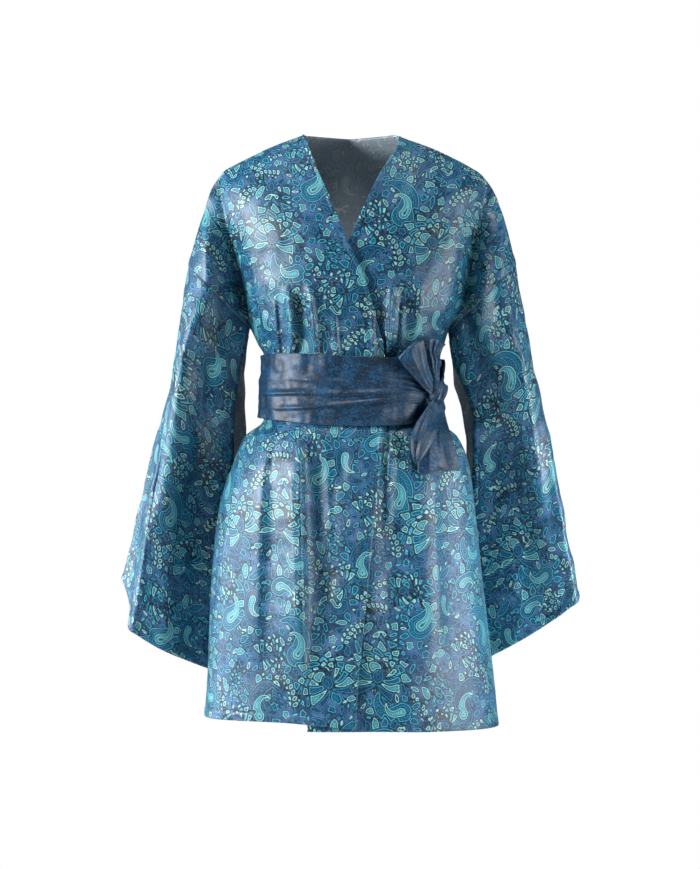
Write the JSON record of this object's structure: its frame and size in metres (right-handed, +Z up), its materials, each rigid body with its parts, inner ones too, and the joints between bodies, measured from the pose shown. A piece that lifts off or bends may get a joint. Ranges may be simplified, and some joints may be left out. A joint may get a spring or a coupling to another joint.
{
  "type": "short kimono",
  "caption": "Short wrap kimono with wide drop-shoulder sleeves, open cuffs and a wide sash tied in a side bow, in the hollow form it keeps while worn.",
  "frame": {"origin": "midway between the two neck points, where the wearer's shoulders carry the garment", "axes": "+Z up, the fronts face -Y, +X to the wearer's left"},
  "size_m": [0.6955, 0.2511, 0.8851],
  "materials": {
    "print_cloth": "satin with a dense leaf, flower and paisley print in blues",
    "sash_cloth": "slightly shiny woven cloth, navy with a tone-on-tone scroll"
  },
  "bodies": {
    "root": {"back": "print_cloth", "front_right": "print_cloth", "front_left": "print_cloth", "sleeve_right": "print_cloth", "sleeve_left": "print_cloth", "sash_wrap": "sash_cloth", "sash_knot": "sash_cloth", "bow_lobe_upper": "sash_cloth", "tail_upper": "sash_cloth", "tail_lower_left": "sash_cloth", "tail_lower_right": "sash_cloth"}
  },
  "joints": []
}
